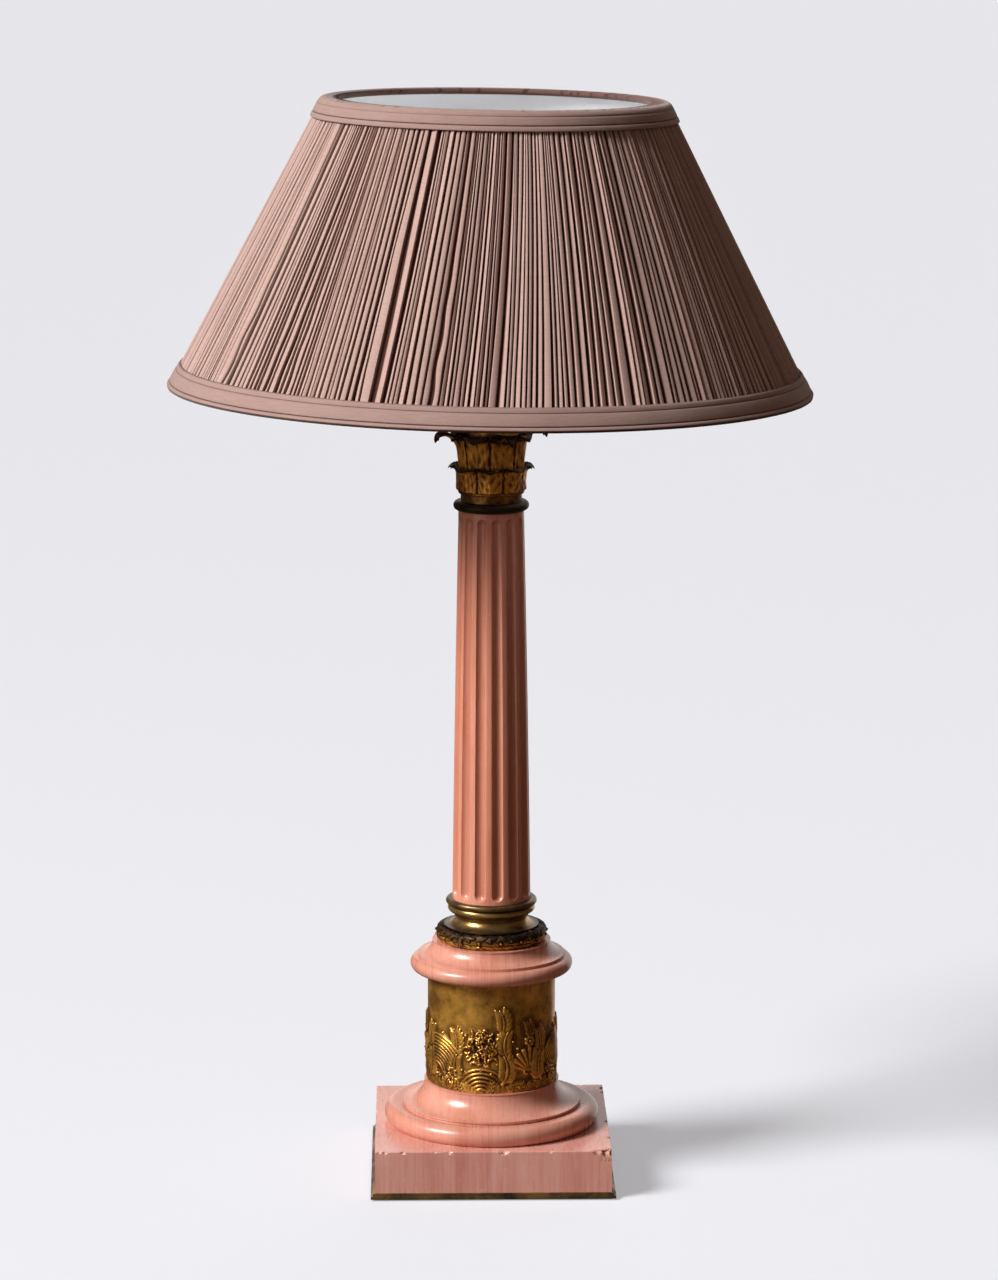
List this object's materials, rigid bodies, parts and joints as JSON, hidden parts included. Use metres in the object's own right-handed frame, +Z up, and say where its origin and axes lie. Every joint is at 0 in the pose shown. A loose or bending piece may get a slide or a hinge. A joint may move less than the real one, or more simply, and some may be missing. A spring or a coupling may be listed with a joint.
{
  "type": "table lamp",
  "caption": "Column table lamp: fluted stone shaft with bronze capital, wreath and drum on a square stone plinth, under a conical pleated cloth shade with bound edges.",
  "frame": {"origin": "middle of the felt face that rests on the table", "axes": "+Z up along the lamp's tube, -Y towards the viewer in front, +X to the viewer's right, square with the plinth"},
  "size_m": [0.4055, 0.4056, 0.6908],
  "materials": {
    "felt": "dense green wool felt",
    "stone": "polished salmon pink stone with fine vertical grain",
    "gilt_bronze": "cast bronze with worn gilding and brown patina",
    "dark_bronze": "bronze with dark patina",
    "brass": "satin brass",
    "steel": "zinc plated steel",
    "porcelain": "white glazed porcelain",
    "black_plastic": "black moulded plastic",
    "pleated_cloth": "dusty rose pleated cotton",
    "trim_cloth": "dusty rose cotton bias binding",
    "white_lining": "white laminated lining",
    "white_wire": "white enamelled wire",
    "opal_glass": "opal white glass",
    "bulb_cap_metal": "rolled aluminium"
  },
  "bodies": {
    "base": {"base_felt": "felt", "base_plate": "gilt_bronze", "plinth": "stone", "cable_bush": "black_plastic", "threaded_tube": "steel", "bottom_washer": "steel", "bottom_nut": "steel", "base_moulding": "stone", "frieze_drum": "gilt_bronze", "cornice": "stone", "laurel_wreath": "gilt_bronze", "column_base": "gilt_bronze", "column_shaft": "stone", "astragal_ring": "dark_bronze", "capital_bell": "gilt_bronze", "lower_leaf_tier": "gilt_bronze", "upper_leaf_tier": "gilt_bronze", "corner_volute_1": "gilt_bronze", "corner_volute_2": "gilt_bronze", "corner_volute_3": "gilt_bronze", "corner_volute_4": "gilt_bronze", "capital_abacus": "gilt_bronze", "neck_cap": "brass", "top_washer": "steel", "top_nut": "steel", "holder_cap": "brass", "grub_screw": "steel", "holder_skirt": "brass", "porcelain_insulator": "porcelain", "screw_shell": "brass", "centre_contact": "brass", "terminal_screw_1": "steel", "terminal_screw_2": "steel", "switch_bush": "brass", "shade_flange": "brass"},
    "shade": {"shade_fitter": "white_wire", "bottom_wire_ring": "white_wire", "top_wire_ring": "white_wire", "shade_lining": "white_lining", "pleated_cover": "pleated_cloth", "bottom_trim": "trim_cloth", "top_trim": "trim_cloth"},
    "clamp": {"shade_clamp_ring": "brass"},
    "key": {"switch_key": "brass"},
    "bulb_carrier": {"bulb_contact": "brass"},
    "bulb": {"bulb_cap": "bulb_cap_metal", "bulb_glass": "opal_glass"}
  },
  "joints": [
    {"name": "shade_turn", "type": "hinge", "parent": "base", "child": "shade", "pos_m": [0, 0, 0.54435], "axis": [0.0178, 0, 0.9998], "continuous": true},
    {"name": "clamp_ring_turn", "type": "hinge", "parent": "base", "child": "clamp", "pos_m": [0, 0, 0.549], "axis": [0, 0, 1], "range_deg": [0, 1080]},
    {"name": "switch_key_turn", "type": "hinge", "parent": "base", "child": "key", "pos_m": [0.03, 0, 0.5173], "axis": [1, 0, 0], "continuous": true},
    {"name": "bulb_turn", "type": "hinge", "parent": "bulb_carrier", "child": "bulb", "pos_m": [0, 0, 0.56], "axis": [0, 0, 1], "range_deg": [0, 1800]},
    {"name": "bulb_rise", "type": "slide", "parent": "base", "child": "bulb_carrier", "axis": [0, 0, 1], "range_m": [0, 0.0182]}
  ],
  "couplings": [
    {"joint": "bulb_rise", "follows": "bulb_turn", "m_per_rad": 0.00057773}
  ]
}
